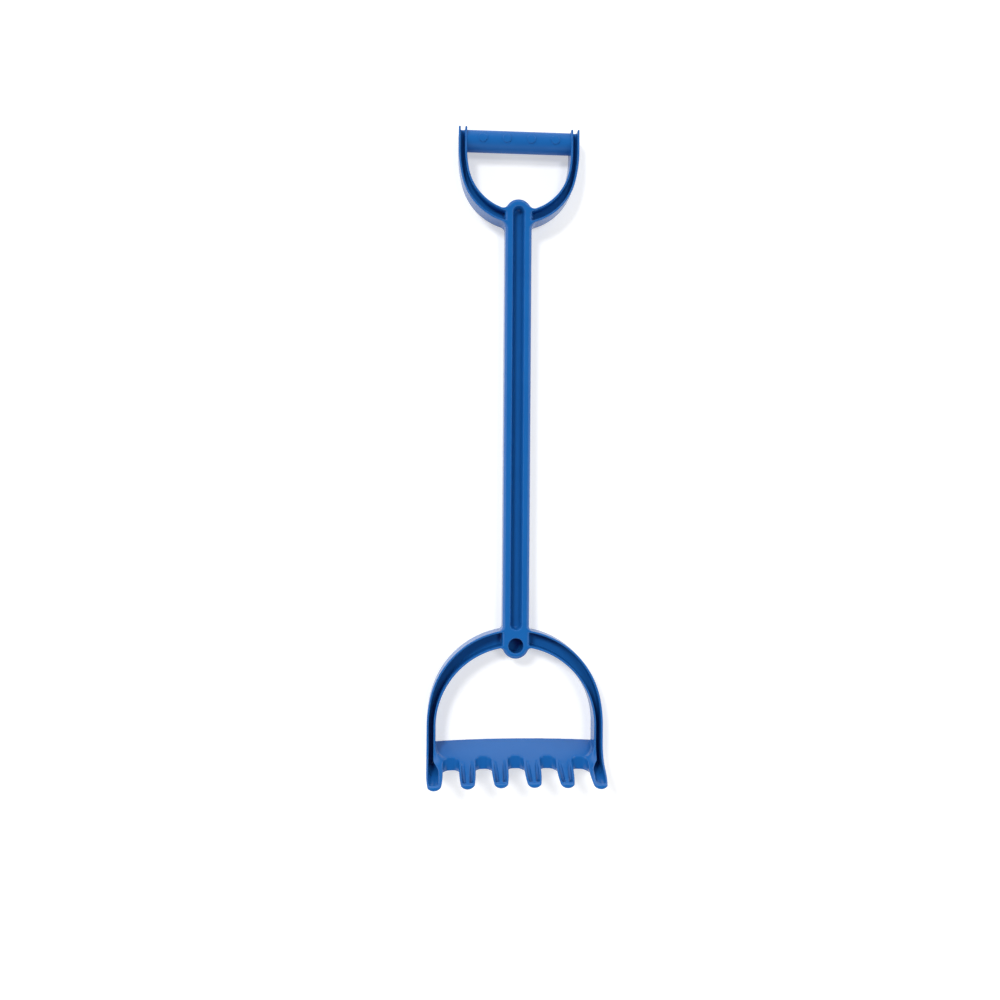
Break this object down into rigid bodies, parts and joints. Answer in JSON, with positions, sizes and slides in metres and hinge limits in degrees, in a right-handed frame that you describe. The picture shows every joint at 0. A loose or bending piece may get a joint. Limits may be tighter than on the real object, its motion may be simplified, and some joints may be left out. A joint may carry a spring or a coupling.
{
  "type": "sand rake",
  "caption": "Short one-handed toy sand rake: a D handle with a round grip, a grooved straight shaft and an arched head that carries a bar of flat tines.",
  "frame": {"origin": "bottom centre of the rake's box, with the rake lying on its back", "axes": "+X across the rake, +Y from the tines towards the handle, +Z out of the front, the way the tines point"},
  "size_m": [0.165, 0.61, 0.056],
  "materials": {
    "blue_plastic": "satin-gloss moulded polypropylene"
  },
  "bodies": {
    "root": {"grip_bar": "blue_plastic", "handle_fork": "blue_plastic", "shaft": "blue_plastic", "head_arch": "blue_plastic", "rake_bar": "blue_plastic"}
  },
  "joints": []
}
